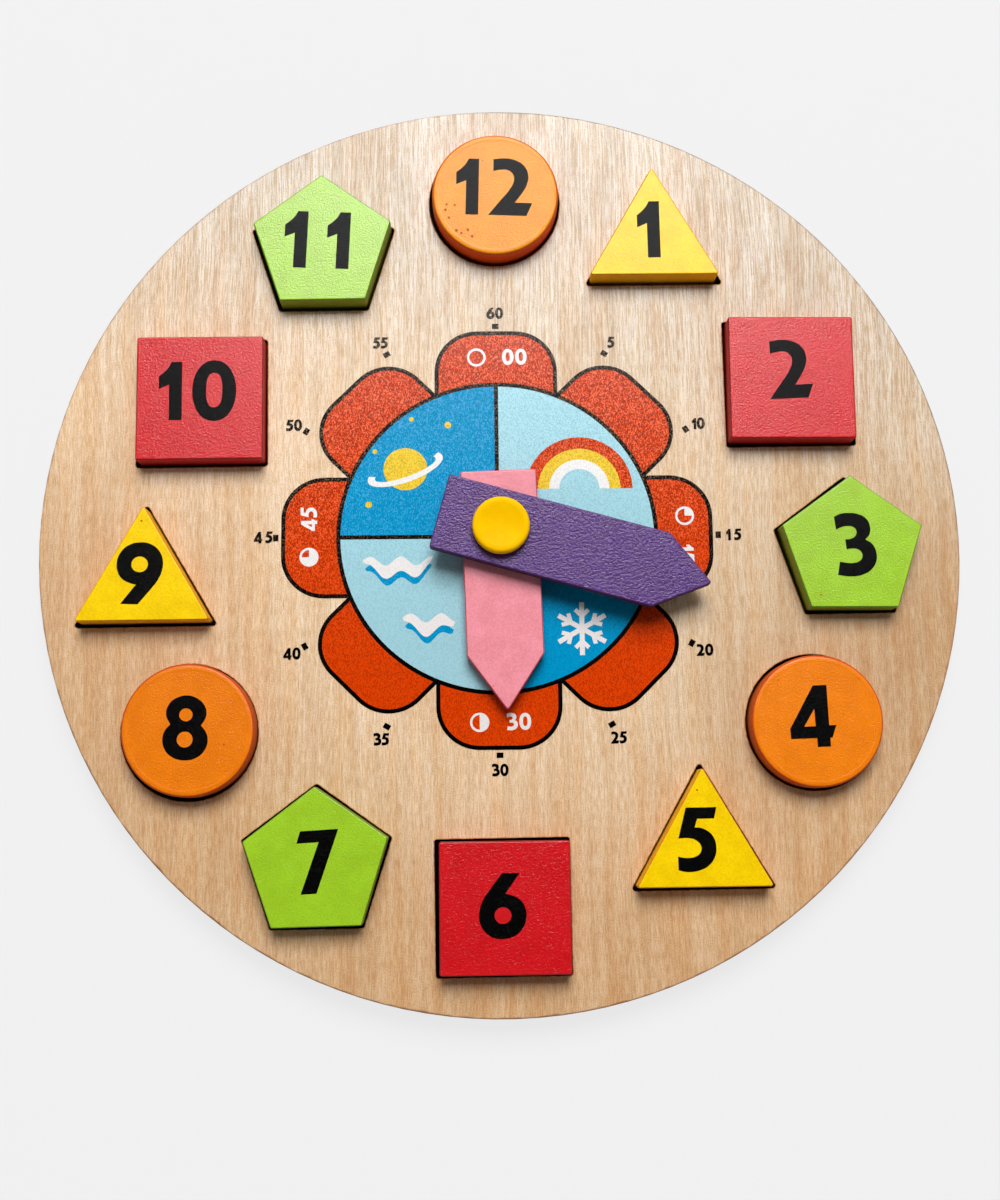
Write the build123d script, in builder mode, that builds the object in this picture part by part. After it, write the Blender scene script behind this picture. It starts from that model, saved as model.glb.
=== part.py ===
from build123d import *
import os
from collections import namedtuple
from math import cos, radians, sin, tan

# Wooden shape-sorting teaching clock: a round plywood board with twelve numbered blocks
# that lift out of their seats, and two painted hands that turn by hand on one pivot.
# The board lies flat. +Z is up, +Y points to 12 o'clock and +X to 3 o'clock.
# The origin is the middle of the board's underside, where it rests. Lengths are in mm.

# ---------------------------------------------------------------- driving dimensions

# The board is two round sheets of plywood glued together: the face has the openings for
# the blocks, and the back closes them from below.
board_diameter = 300.0
face_thickness = 5.0
back_thickness = 4.0
rim_break = 0.4

# The number blocks, and the room that each has in its seat.
block_thickness = 12.0
circle_diameter = 42.0
square_side = 41.0
triangle_side = 43.2
pentagon_side = 28.1
block_corner_round = 0.65
block_edge_round = 0.5
disc_edge_round = 1.0
block_foot_round = 0.5
seat_play = 0.85
seat_corner_round = 0.8

# The seats stand on one circle, this far in from the rim.
seat_inset = 34.5

# The pivot stands a little above the middle of the board, towards 12 o'clock.
pivot_right = -0.4
pivot_up = 4.3

# The hands are flat bars with a square tail and a house-shaped point. Each length is
# measured from the pivot, and each angle clockwise from 12 o'clock.
hand_width = 24.7
hand_thickness = 4.5
hand_corner_round = 0.8
hand_edge_round = 0.5
hour_tail = 19.7
hour_shoulder = 40.5
hour_tip = 58.4
hour_angle = 178.8
minute_tail = 20.4
minute_shoulder = 52.8
minute_tip = 69.8
minute_angle = 106.1

# The pivot is a dished plastic button on a plain shank, drawn down by a screw from below.
shank_diameter = 6.0
button_diameter = 18.3
button_thickness = 3.2
button_rim_round = 1.2
button_foot_round = 0.4
dish_diameter = 14.5
dish_depth = 0.7
dish_edge_round = 0.8
running_clearance = 0.08
pin_clearance = 0.05

# Thin spacers keep the hands apart and off the board.
spacer_thickness = 0.8
spacer_diameter = 14.0

# The screw and its washer lie below the underside of the board, in a counterbore.
screw_diameter = 3.0
screw_reach = 14.0
screw_head_diameter = 6.0
screw_head_height = 1.5
screw_head_round = 0.6
screw_cross_width = 0.9
screw_cross_span = 3.4
screw_cross_depth = 0.9
screw_point_chamfer = 0.5
screw_point_room = 1.0
washer_diameter = 10.0
washer_thickness = 0.5
counterbore_room = 0.6
counterbore_spare_depth = 0.2

# One row for each number block: its hour, its shape, how many degrees its seat is turned
# on from even spacing, how far the seat is pushed out from the seat circle, and how the
# block lies in the play of its seat (to the right, up, and turned anticlockwise).
Block = namedtuple("Block", "hour shape turn_on push_out right up turned")
blocks = [
    Block(1, "triangle", -2.5, -1.4, -0.4, 0.3, -0.3),
    Block(2, "square", 1.1, -5.5, -0.2, 0.2, -0.8),
    Block(3, "pentagon", 2.0, -2.5, 0.2, 0.2, -0.9),
    Block(4, "circle", 0.9, -0.1, -0.1, -0.1, 0.0),
    Block(5, "triangle", -2.2, 0.4, -0.35, 0.1, -0.3),
    Block(6, "square", 0.9, 0.1, 0.5, 0.1, -0.4),
    Block(7, "pentagon", 0.9, 2.1, 0.25, 0.15, 0.6),
    Block(8, "circle", -0.3, 1.2, 0.6, 0.3, 0.0),
    Block(9, "triangle", -5.6, 0.3, 0.2, 0.25, -0.2),
    Block(10, "square", -3.3, -6.2, 0.3, 0.1, -0.2),
    Block(11, "pentagon", 0.2, 0.4, 0.1, 0.5, 0.2),
    Block(12, "circle", -0.1, 1.5, 0.2, 0.4, 0.0),
]

# ---------------------------------------------------------------- heights that follow

face_top = back_thickness + face_thickness
hour_underside = face_top + spacer_thickness
hand_gap_bottom = hour_underside + hand_thickness
minute_underside = hand_gap_bottom + spacer_thickness
button_gap_bottom = minute_underside + hand_thickness
button_underside = button_gap_bottom + spacer_thickness
counterbore_depth = washer_thickness + screw_head_height + counterbore_spare_depth
seat_ring = board_diameter / 2 - seat_inset

pivot = (pivot_right, pivot_up)
bearing_hole = shank_diameter + 2 * running_clearance
pin_hole = shank_diameter + 2 * pin_clearance
screw_hole = screw_diameter + 2 * pin_clearance

os.makedirs("parts", exist_ok=True)


def save(builder, name):
    """Label a finished piece and write it to its own file."""
    builder.part.label = name
    export_step(builder.part, f"parts/{name}.step")


def plane_at_pivot(height):
    """Level plane at a height, with its origin on the pivot's axis."""
    return Plane((pivot_right, pivot_up, height))


def seat_centre(block):
    """Middle of a block's seat, seen from above."""
    angle = radians(30 * block.hour + block.turn_on)
    distance = seat_ring + block.push_out
    return (distance * sin(angle), distance * cos(angle))


def draw_polygon(side, count, grow, mode):
    """Regular polygon that stands on a flat side, grown by the same width on every side."""
    side_to_middle = side / (2 * tan(radians(180 / count)))
    RegularPolygon(side_to_middle + grow, count, major_radius=False, rotation=90, mode=mode)


def draw_block(shape, grow=0.0, mode=Mode.ADD):
    """Plan of a block, grown by the same width on every side for its seat."""
    if shape == "circle":
        Circle(circle_diameter / 2 + grow, mode=mode)
    elif shape == "square":
        Rectangle(square_side + 2 * grow, square_side + 2 * grow, mode=mode)
    elif shape == "triangle":
        draw_polygon(triangle_side, 3, grow, mode)
    else:
        draw_polygon(pentagon_side, 5, grow, mode)


# ---------------------------------------------------------------- board

# Face: plywood with twelve openings cut right through it, and a hole for the shank.
with BuildPart() as face_board:
    with BuildSketch(Plane.XY.offset(back_thickness)) as face_plan:
        Circle(board_diameter / 2)
        for block in blocks:
            with Locations(seat_centre(block)):
                draw_block(block.shape, grow=seat_play, mode=Mode.SUBTRACT)
            if block.shape != "circle":
                fillet(face_plan.vertices(Select.LAST), seat_corner_round)
        with Locations(pivot):
            Circle(pin_hole / 2, mode=Mode.SUBTRACT)
    extrude(amount=face_thickness)
    top_edges = face_board.edges().group_by(Axis.Z)[-1]
    fillet(top_edges.sort_by(SortBy.LENGTH)[-1], rim_break)
save(face_board, "face_board")

# Back: a plain round sheet, counterbored from below for the screw and its washer.
with BuildPart() as back_board:
    with BuildSketch(Plane.XY):
        Circle(board_diameter / 2)
    extrude(amount=back_thickness)
    bottom_edges = back_board.edges().group_by(Axis.Z)[0]
    fillet(bottom_edges, rim_break)
    with Locations(Plane((pivot_right, pivot_up, 0), z_dir=(0, 0, -1))):
        CounterBoreHole(
            radius=screw_hole / 2,
            counter_bore_radius=washer_diameter / 2 + counterbore_room,
            counter_bore_depth=counterbore_depth,
        )
save(back_board, "back_board")

# ---------------------------------------------------------------- number blocks

# Each block stands on the back board inside its opening, with its numbered face up.
for block in blocks:
    across, up = seat_centre(block)
    block_plane = Plane((across + block.right, up + block.up, back_thickness))
    with BuildPart() as number_block:
        with BuildSketch(block_plane.rotated((0, 0, block.turned))) as plan:
            draw_block(block.shape)
            if block.shape != "circle":
                fillet(plan.vertices(), block_corner_round)
        extrude(amount=block_thickness)
        top_round = disc_edge_round if block.shape == "circle" else block_edge_round
        fillet(number_block.edges().group_by(Axis.Z)[-1], top_round)
        fillet(number_block.edges().group_by(Axis.Z)[0], block_foot_round)
    save(number_block, f"block_{block.hour:02d}_{block.shape}")

# ---------------------------------------------------------------- hands


def build_hand(clock_angle, underside, tail, shoulder, tip):
    """Flat bar with a square tail and a pointed end, bored to turn on the shank."""
    pointing = (sin(radians(clock_angle)), cos(radians(clock_angle)), 0)
    half_width = hand_width / 2
    hand_plane = Plane((pivot_right, pivot_up, underside), x_dir=pointing, z_dir=(0, 0, 1))
    with BuildPart() as hand:
        with BuildSketch(hand_plane) as outline:
            with BuildLine():
                Polyline(
                    (-tail, -half_width),
                    (shoulder, -half_width),
                    (tip, 0),
                    (shoulder, half_width),
                    (-tail, half_width),
                    close=True,
                )
            make_face()
            fillet(outline.vertices(), hand_corner_round)
        extrude(amount=hand_thickness)
        fillet(hand.edges().group_by(Axis.Z)[-1], hand_edge_round)
        fillet(hand.edges().group_by(Axis.Z)[0], hand_edge_round)
        with Locations((pivot_right, pivot_up, underside)):
            Hole(bearing_hole / 2)
    return hand


hour_hand = build_hand(hour_angle, hour_underside, hour_tail, hour_shoulder, hour_tip)
save(hour_hand, "hour_hand")

minute_hand = build_hand(
    minute_angle, minute_underside, minute_tail, minute_shoulder, minute_tip
)
save(minute_hand, "minute_hand")

# ---------------------------------------------------------------- pivot

# Spacers: one on the board, one between the hands and one under the button.
spacer_places = {
    "board_spacer": face_top,
    "hand_spacer": hand_gap_bottom,
    "button_spacer": button_gap_bottom,
}
for name, height in spacer_places.items():
    with BuildPart() as spacer:
        with BuildSketch(plane_at_pivot(height)):
            Circle(spacer_diameter / 2)
            Circle(bearing_hole / 2, mode=Mode.SUBTRACT)
        extrude(amount=spacer_thickness)
    save(spacer, name)

# Button: a dished head on a shank that reaches down to the back board, with a blind hole
# up its middle for the screw.
dish_ball = (dish_diameter ** 2 / 4 + dish_depth ** 2) / (2 * dish_depth)
button_top = button_underside + button_thickness
with BuildPart() as pivot_button:
    with BuildSketch(plane_at_pivot(button_underside)):
        Circle(button_diameter / 2)
    extrude(amount=button_thickness)
    fillet(pivot_button.edges().group_by(Axis.Z)[-1], button_rim_round)
    fillet(pivot_button.edges().group_by(Axis.Z)[0], button_foot_round)
    with Locations((pivot_right, pivot_up, button_top - dish_depth + dish_ball)):
        Sphere(dish_ball, mode=Mode.SUBTRACT)
    fillet(pivot_button.edges().group_by(Axis.Z)[-1], dish_edge_round)
    with BuildSketch(plane_at_pivot(back_thickness)):
        Circle(shank_diameter / 2)
    extrude(amount=button_underside - back_thickness)
    with BuildSketch(plane_at_pivot(back_thickness)):
        Circle(screw_hole / 2)
    extrude(amount=screw_reach + screw_point_room, mode=Mode.SUBTRACT)
save(pivot_button, "pivot_button")

# Washer: it spreads the pull of the screw over the back board.
washer_underside = counterbore_depth - washer_thickness
with BuildPart() as rear_washer:
    with BuildSketch(plane_at_pivot(washer_underside)):
        Circle(washer_diameter / 2)
        Circle(screw_hole / 2, mode=Mode.SUBTRACT)
    extrude(amount=washer_thickness)
save(rear_washer, "rear_washer")

# Screw: a pan head with a cross recess, under the washer, and a shank into the button.
head_underside = washer_underside - screw_head_height
with BuildPart() as pivot_screw:
    with BuildSketch(plane_at_pivot(head_underside)):
        Circle(screw_head_diameter / 2)
    extrude(amount=screw_head_height)
    fillet(pivot_screw.edges().group_by(Axis.Z)[0], screw_head_round)
    with BuildSketch(plane_at_pivot(head_underside)):
        Rectangle(screw_cross_span, screw_cross_width)
        Rectangle(screw_cross_width, screw_cross_span)
    extrude(amount=screw_cross_depth, mode=Mode.SUBTRACT)
    with BuildSketch(plane_at_pivot(washer_underside)):
        Circle(screw_diameter / 2)
    extrude(amount=back_thickness - washer_underside + screw_reach)
    chamfer(pivot_screw.edges().group_by(Axis.Z)[-1], screw_point_chamfer)
save(pivot_screw, "pivot_screw")
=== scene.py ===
from math import cos, pi, radians, sin

import bpy
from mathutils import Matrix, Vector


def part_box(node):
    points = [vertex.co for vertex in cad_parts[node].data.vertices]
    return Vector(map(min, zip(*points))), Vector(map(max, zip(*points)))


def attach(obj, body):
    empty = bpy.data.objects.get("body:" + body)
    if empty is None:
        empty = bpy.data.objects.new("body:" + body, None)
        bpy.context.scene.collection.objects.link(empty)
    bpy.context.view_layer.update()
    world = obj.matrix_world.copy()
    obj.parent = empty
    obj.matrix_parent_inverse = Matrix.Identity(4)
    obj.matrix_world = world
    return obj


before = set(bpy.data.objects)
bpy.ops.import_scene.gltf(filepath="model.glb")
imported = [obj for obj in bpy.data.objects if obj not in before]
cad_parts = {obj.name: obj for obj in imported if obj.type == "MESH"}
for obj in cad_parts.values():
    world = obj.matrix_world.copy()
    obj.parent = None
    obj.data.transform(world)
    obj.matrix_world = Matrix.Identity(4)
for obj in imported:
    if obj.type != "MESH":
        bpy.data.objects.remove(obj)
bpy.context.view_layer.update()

# ---------------------------------------------------------------- back board
# A round sheet of 4 mm birch plywood, cut by laser, with a thin clear coat. The blocks
# stand on it inside their openings, where its front is near-black. The face board is
# glued on top of it.

mm = 0.001


def place(tree, kind, sockets=None, **options):
    """Add one shader node, set its options, fill or link its inputs, and give its outputs."""
    shader_node = tree.nodes.new("ShaderNode" + kind)
    for option, value in options.items():
        setattr(shader_node, option, value)
    for socket, value in (sockets or {}).items():
        if isinstance(value, bpy.types.NodeSocket):
            tree.links.new(value, shader_node.inputs[socket])
        else:
            shader_node.inputs[socket].default_value = value
    return shader_node.outputs


def calc(tree, operation, *terms):
    """One sum in a shader."""
    return place(tree, "Math", dict(enumerate(terms)), operation=operation)[0]


def times(tree, *terms):
    """Product of two terms in a shader, plus the third term if there is one."""
    return calc(tree, "MULTIPLY_ADD" if len(terms) > 2 else "MULTIPLY", *terms)


def fade(tree, value, start, end):
    """Turn a value into a soft mask: 0 at start, 1 at end."""
    limits = {"Value": value, "From Min": start, "From Max": end}
    return place(tree, "MapRange", limits, interpolation_type="SMOOTHSTEP")[0]


def mix(tree, share, first, second, how="MIX"):
    """Lay a share of the second colour over the first."""
    colours = {0: share, 6: first, 7: second}
    return place(tree, "Mix", colours, data_type="RGBA", blend_type=how)[2]


def noise(tree, where, size, detail=2.0, roughness=0.5):
    """Cloudy pattern whose blotches are about this size, in metres."""
    settings = {"Vector": where, "Scale": 1 / size, "Detail": detail, "Roughness": roughness}
    return place(tree, "TexNoise", settings)[0]


def start_group(name, inputs, outputs):
    """Start a shader node group, with a value, a colour or None for a vector as each input."""
    group = bpy.data.node_groups.new(name, "ShaderNodeTree")
    for label, value in inputs.items():
        kind = "NodeSocketFloat"
        if value is None:
            kind = "NodeSocketVector"
        elif isinstance(value, tuple):
            kind = "NodeSocketColor"
        socket = group.interface.new_socket(label, in_out="INPUT", socket_type=kind)
        if value is not None:
            socket.default_value = value
    for label, kind in outputs.items():
        group.interface.new_socket(label, in_out="OUTPUT", socket_type="NodeSocket" + kind)
    given = group.nodes.new("NodeGroupInput").outputs
    result = group.nodes.new("NodeGroupOutput").inputs
    return group, given, result


def use_group(tree, group, sockets):
    """Place a shader node group in a material, with its own values."""
    return place(tree, "Group", sockets, node_tree=group)


def start_material(name):
    """Start a material: its node tree, its surface's inputs and the object's own place."""
    material = bpy.data.materials.new(name)
    material.use_nodes = True
    tree = material.node_tree
    tree.nodes.clear()
    surface = tree.nodes.new("ShaderNodeBsdfPrincipled")
    output = tree.nodes.new("ShaderNodeOutputMaterial")
    tree.links.new(surface.outputs[0], output.inputs["Surface"])
    coordinates = place(tree, "TexCoord")
    return material, tree, surface.inputs, coordinates


def bump(tree, surface, height, depth, under=None):
    """Shape the surface's normal from a height between 0 and 1, this deep in metres."""
    settings = {"Height": height, "Distance": depth}
    if under is not None:
        settings["Normal"] = under
    normal = place(tree, "Bump", settings)[0]
    tree.links.new(normal, surface["Normal"])


def srgb(red, green, blue):
    """Colour as seen on a screen, from 0 to 255, turned into the light that it stands for."""
    light = []
    for part in (red, green, blue):
        level = part / 255
        light.append(level / 12.92 if level < 0.04045 else ((level + 0.055) / 1.055) ** 2.4)
    return (*light, 1.0)


# Veneer: fine fibres and hair lines over broader strands, warm stripes and growth bands,
# with short pores.
timber, given, result = start_group(
    "timber",
    {
        "Vector": None,
        "Pale": srgb(236, 208, 170),
        "Dark": srgb(206, 166, 118),
        "Fibre": srgb(220, 196, 162),
        "Hairs": 0.2,
        "Pore": srgb(160, 106, 66),
        "Pores": 0.6,
        "Figure": 0.3,
    },
    {"Color": "Color", "Height": "Float", "Tone": "Float"},
)
grain = place(timber, "SeparateXYZ", {"Vector": given["Vector"]})
wander = noise(timber, given["Vector"], size=45 * mm, detail=1)
wander_reach = 4 * mm
across = calc(timber, "ADD", grain["X"], times(timber, wander, wander_reach, -wander_reach / 2))


def along_grain(by):
    """Shading place in which a pattern comes out this many times longer along the grain."""
    shorter = times(timber, grain["Y"], 1 / by)
    return place(timber, "CombineXYZ", {"X": across, "Y": shorter, "Z": grain["Z"]})[0]


def blend_patterns(*shares):
    """Sum of patterns, each with its share."""
    total = 0.0
    for pattern, share in shares:
        total = times(timber, pattern, share, total)
    return total


fibres = noise(timber, along_grain(by=14), size=0.31 * mm, detail=1)
hairs = noise(timber, along_grain(by=45), size=0.45 * mm, detail=2, roughness=0.6)
speckle = noise(timber, given["Vector"], size=0.32 * mm, detail=1)
hair_share = times(timber, calc(timber, "SUBTRACT", hairs, 0.5), given["Hairs"])
streak = blend_patterns((fibres, 0.5), (speckle, 0.5), (hair_share, 1.0))
streak = fade(timber, streak, 0.43, 0.58)
lines = noise(timber, along_grain(by=24), size=0.8 * mm, detail=2)
strands = noise(timber, along_grain(by=22), size=2.8 * mm, detail=2)
bands = noise(timber, along_grain(by=9), size=11 * mm)
curl_place = place(timber, "Mapping", {"Vector": given["Vector"], "Scale": (0.3, 1, 1)})[0]
curl = noise(timber, curl_place, size=2.4 * mm, detail=1)
tone = blend_patterns((lines, 0.3), (strands, 0.3), (bands, 0.3), (curl, 0.1))
tone = fade(timber, tone, 0.40, 0.60)
growth_rings = {
    "Vector": along_grain(by=6),
    "Scale": 26,
    "Distortion": 5.5,
    "Detail": 2.5,
    "Detail Scale": 1.4,
}
growth = place(timber, "TexWave", growth_rings)["Fac"]
figured = times(timber, fade(timber, growth, 0.45, 0.95), given["Figure"])
tone = calc(timber, "MAXIMUM", tone, figured)


def pore_layer(size, by, reach, channel, rare):
    """Short dark dashes along the grain, some of them fainter than others."""
    cells = place(timber, "TexVoronoi", {"Vector": along_grain(by), "Scale": 1 / size})
    dash = fade(timber, cells["Distance"], reach, 0.4 * reach)
    tint = place(timber, "SeparateColor", {"Color": cells["Color"]})[channel]
    return times(timber, dash, fade(timber, tint, rare, 1.0))


dashes = pore_layer(size=2.3 * mm, by=13, reach=0.10, channel=0, rare=0.45)
veins = pore_layer(size=6 * mm, by=40, reach=0.07, channel=1, rare=0.4)
ticks = pore_layer(size=0.85 * mm, by=7, reach=0.19, channel=1, rare=0.55)
pores = calc(timber, "MAXIMUM", dashes, times(timber, ticks, 0.6))
pores = calc(timber, "MAXIMUM", pores, times(timber, veins, 0.6))
pores = times(timber, pores, given["Pores"])
wood_colour = mix(timber, tone, given["Pale"], given["Dark"])
warmth = noise(timber, along_grain(by=16), size=5 * mm, detail=3)
warmth = times(timber, fade(timber, warmth, 0.46, 0.62), 0.6)
wood_colour = mix(timber, warmth, wood_colour, srgb(250, 234, 212), how="MULTIPLY")
wood_colour = mix(timber, streak, wood_colour, given["Fibre"], how="MULTIPLY")
timber.links.new(mix(timber, pores, wood_colour, given["Pore"]), result["Color"])
height = blend_patterns((speckle, 0.4), (fibres, 0.6), (pores, -0.4))
timber.links.new(height, result["Height"])
timber.links.new(tone, result["Tone"])

# Cut edge of the plywood: browned by the laser, crosswise plies darker, fine upright
# scorch lines, and a thin black glue line between the two boards.
cut_edge, given, result = start_group(
    "cut_edge",
    {
        "Vector": None,
        "Burnt": srgb(52, 30, 17),
        "Browned": srgb(126, 84, 48),
        "Glue": srgb(24, 14, 9),
    },
    {"Color": "Color", "Height": "Float"},
)
level = place(cut_edge, "SeparateXYZ", {"Vector": given["Vector"]})["Z"]
stack_height = 9 * mm
back_thickness = 4 * mm
in_stack = calc(cut_edge, "DIVIDE", level, stack_height)
ply_ramp = cut_edge.nodes.new("ShaderNodeValToRGB")
cut_edge.links.new(in_stack, ply_ramp.inputs[0])
ply_ramp.color_ramp.interpolation = "CONSTANT"
plies = {0.0: 0.75, 0.125: 0.1, 0.31: 0.65, 0.445: 0.8, 0.58: 0.1, 0.86: 0.7}
while len(ply_ramp.color_ramp.elements) < len(plies):
    ply_ramp.color_ramp.elements.new(0.5)
for stop, (ply_bottom, paleness) in zip(ply_ramp.color_ramp.elements, plies.items()):
    stop.position = ply_bottom
    stop.color = (paleness, paleness, paleness, 1)
scorch_place = place(cut_edge, "Mapping", {"Vector": given["Vector"], "Scale": (1, 1, 0.12)})[0]
scorch = noise(cut_edge, scorch_place, size=0.7 * mm, detail=3, roughness=0.6)
char = noise(cut_edge, given["Vector"], size=9 * mm, detail=2)
paleness = times(cut_edge, ply_ramp.outputs[0], fade(cut_edge, scorch, 0.25, 0.75))
paleness = times(cut_edge, paleness, fade(cut_edge, char, 0.2, 0.65))
edge_colour = mix(cut_edge, paleness, given["Burnt"], given["Browned"])
off_glue = calc(cut_edge, "ABSOLUTE", calc(cut_edge, "SUBTRACT", level, back_thickness))
glued = fade(cut_edge, off_glue, 0.14 * mm, 0.05 * mm)
edge_colour = mix(cut_edge, glued, edge_colour, given["Glue"])
cut_edge.links.new(edge_colour, result["Color"])
cut_edge.links.new(scorch, result["Height"])


def make_board_finish(name, rim, grain_turn, pales, darks, right_shade, pores, figure, gloss, grain_depth):
    """Plywood out to a rim: veneer with one set of colours in the middle and another near the
    rim on the lower side, bleached towards 12 o'clock as painted glare and darkened a little
    on the right as painted shade, laser-cut walls, openings walled in near-black char and
    painted shade, and a scorched rim that browns more towards the bottom."""
    material, tree, surface, coordinates = start_material(name)
    spot = place(tree, "SeparateXYZ", {"Vector": coordinates["Object"]})
    turning = {"Vector": coordinates["Object"], "Rotation": (0, 0, grain_turn)}
    turned = place(tree, "Mapping", turning)[0]
    flat_spot = place(tree, "CombineXYZ", {"X": spot["X"], "Y": spot["Y"]})[0]
    radius = place(tree, "VectorMath", {0: flat_spot}, operation="LENGTH")["Value"]
    # Darker, yellower veneer colours near the rim on the lower side.
    outer_part = fade(tree, radius, 0.4 * rim, 0.85 * rim)
    outer_part = times(tree, outer_part, fade(tree, spot["Y"], 0.4 * rim, -0.15 * rim))
    # Towards 12 o'clock the veneer is paler and greyer, with more hair lines, as painted glare.
    glare_part = fade(tree, times(tree, spot["X"], 0.2, spot["Y"]), 0.1 * rim, 0.8 * rim)
    pale = mix(tree, glare_part, mix(tree, outer_part, pales[0], pales[1]), pales[2])
    dark = mix(tree, glare_part, mix(tree, outer_part, darks[0], darks[1]), darks[2])
    veneer = use_group(
        tree,
        timber,
        {
            "Vector": turned,
            "Pale": pale,
            "Dark": dark,
            "Fibre": mix(tree, glare_part, srgb(233, 213, 188), srgb(218, 193, 158)),
            "Pores": pores,
            "Figure": figure,
            "Hairs": times(tree, glare_part, 0.8, 0.2),
        },
    )
    # On the right, a little below the middle, the veneer is darkened and cooled slightly as painted shade.
    shaded_right_part = fade(tree, spot["X"], 0, 0.65 * rim)
    shaded_right_part = times(tree, shaded_right_part, fade(tree, spot["Y"], -0.75 * rim, -0.25 * rim))
    shaded_right_part = times(tree, shaded_right_part, fade(tree, spot["Y"], 0.6 * rim, -0.1 * rim))
    veneer_colour = mix(tree, shaded_right_part, veneer["Color"], right_shade, how="MULTIPLY")
    cut = use_group(tree, cut_edge, {"Vector": coordinates["Object"]})
    facing = place(tree, "SeparateXYZ", {"Vector": coordinates["Normal"]})["Z"]
    wall = fade(tree, calc(tree, "ABSOLUTE", facing), 0.93, 0.55)
    singe = noise(tree, coordinates["Object"], size=4 * mm, detail=3)
    singe_reach = times(tree, singe, 1.4 * mm, rim - 1.5 * mm)
    singed = fade(tree, calc(tree, "SUBTRACT", radius, singe_reach), 0, 0.7 * mm)
    # The walls of the openings are near-black and less shiny: laser char and painted shade.
    seat_wall_char_and_shade = times(tree, wall, fade(tree, radius, rim - 1 * mm, rim - 2 * mm))
    # The brown scorch at the rim is made stronger towards the bottom.
    low_part = fade(tree, spot["Y"], 0, -0.7 * rim)
    singed = times(tree, singed, times(tree, low_part, 0.45, 0.5))
    colour = mix(tree, singed, veneer_colour, srgb(142, 90, 50))
    colour = mix(tree, wall, colour, cut["Color"])
    tree.links.new(mix(tree, seat_wall_char_and_shade, colour, srgb(5, 4, 3)), surface["Base Color"])
    shine = times(tree, seat_wall_char_and_shade, -0.45, 0.5)
    tree.links.new(shine, surface["Specular IOR Level"])
    rough = times(tree, wall, 0.4, gloss)
    rough = times(tree, veneer["Tone"], 0.08, rough)
    tree.links.new(rough, surface["Roughness"])
    grain_bump = place(tree, "Bump", {"Height": veneer["Height"], "Distance": grain_depth})[0]
    bump(tree, surface, times(tree, cut["Height"], wall), 0.12 * mm, under=grain_bump)
    return material


def dress(node_name, material):
    """Give a CAD node its finish."""
    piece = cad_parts[node_name]
    piece.data.materials.clear()
    piece.data.materials.append(material)


board_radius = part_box("back_board")[1].x
back_finish = make_board_finish(
    "back_plywood",
    board_radius,
    grain_turn=pi / 2,
    pales=[srgb(234, 204, 164)] * 3,
    darks=[srgb(198, 158, 112)] * 3,
    right_shade=srgb(255, 255, 255),
    pores=0.8,
    figure=0.85,
    gloss=0.48,
    grain_depth=0.10 * mm,
)
tree = back_finish.node_tree
surface = tree.nodes["Principled BSDF"].inputs
facing = place(tree, "SeparateXYZ", {"Vector": place(tree, "TexCoord")["Normal"]})["Z"]
bare_colour = surface["Base Color"].links[0].from_socket
on_front = fade(tree, facing, 0.6, 0.9)
tree.links.new(mix(tree, on_front, bare_colour, srgb(3, 3, 3)), surface["Base Color"])
tree.links.new(times(tree, on_front, -0.46, 0.5), surface["Specular IOR Level"])
dress("back_board", back_finish)

# ---------------------------------------------------------------- face board
# A round sheet of 5 mm birch plywood with a pale, straight-grained face veneer under a
# satin lacquer. Twelve openings are cut right through it by laser, which browns the walls;
# the walls of the openings are near-black, partly char and partly painted shade.

face_finish = make_board_finish(
    "face_veneer",
    board_radius,
    grain_turn=0.0,
    # The third pale and dark colours, used towards 12 o'clock, are bleached as painted glare.
    pales=(srgb(237, 216, 189), srgb(220, 189, 153), srgb(213, 203, 190)),
    darks=(srgb(221, 193, 159), srgb(206, 169, 128), srgb(197, 182, 163)),
    right_shade=srgb(239, 240, 240),
    pores=0.75,
    figure=0.15,
    gloss=0.30,
    grain_depth=0.09 * mm,
)
dress("face_board", face_finish)


def find_openings(board, smallest):
    """Edges of the openings in a board's upper face, as loops of points that run with the
    wood on their left."""
    mesh = board.data
    tolerance = 0.001 * mm
    spots = [(round(v.co.x, 6), round(v.co.y, 6)) for v in mesh.vertices]
    top = max(v.co.z for v in mesh.vertices)
    following = {}
    for face in mesh.polygons:
        if min(mesh.vertices[corner].co.z for corner in face.vertices) < top - tolerance:
            continue
        corners = [spots[corner] for corner in face.vertices]
        for first, second in zip(corners, corners[1:] + corners[:1]):
            if (second, first) in following:
                del following[(second, first)]
            else:
                following[(first, second)] = True
    onward = {first: second for first, second in following}
    loops = []
    while onward:
        first, spot = onward.popitem()
        loop = [first]
        while spot != first:
            loop.append(spot)
            spot = onward.pop(spot)
        width = max(x for x, y in loop) - min(x for x, y in loop)
        if smallest < width < board_radius:
            loops.append(loop)
    return loops


def widen_loop(loop, by):
    """Move a loop of points into the wood by a width."""
    moved = []
    for before, spot, after in zip(loop[-1:] + loop[:-1], loop, loop[1:] + loop[:1]):
        sides = []
        for start, end in ((before, spot), (spot, after)):
            run = ((end[0] - start[0]) ** 2 + (end[1] - start[1]) ** 2) ** 0.5
            sides.append(((start[1] - end[1]) / run, (end[0] - start[0]) / run))
        meeting = 1 + sides[0][0] * sides[1][0] + sides[0][1] * sides[1][1]
        shift = [by * (first + second) / meeting for first, second in zip(*sides)]
        moved.append((spot[0] + shift[0], spot[1] + shift[1]))
    return moved


def add_object(name, data):
    """Add an object with this data to the scene."""
    added = bpy.data.objects.new(name, data)
    bpy.context.scene.collection.objects.link(added)
    return added


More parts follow.
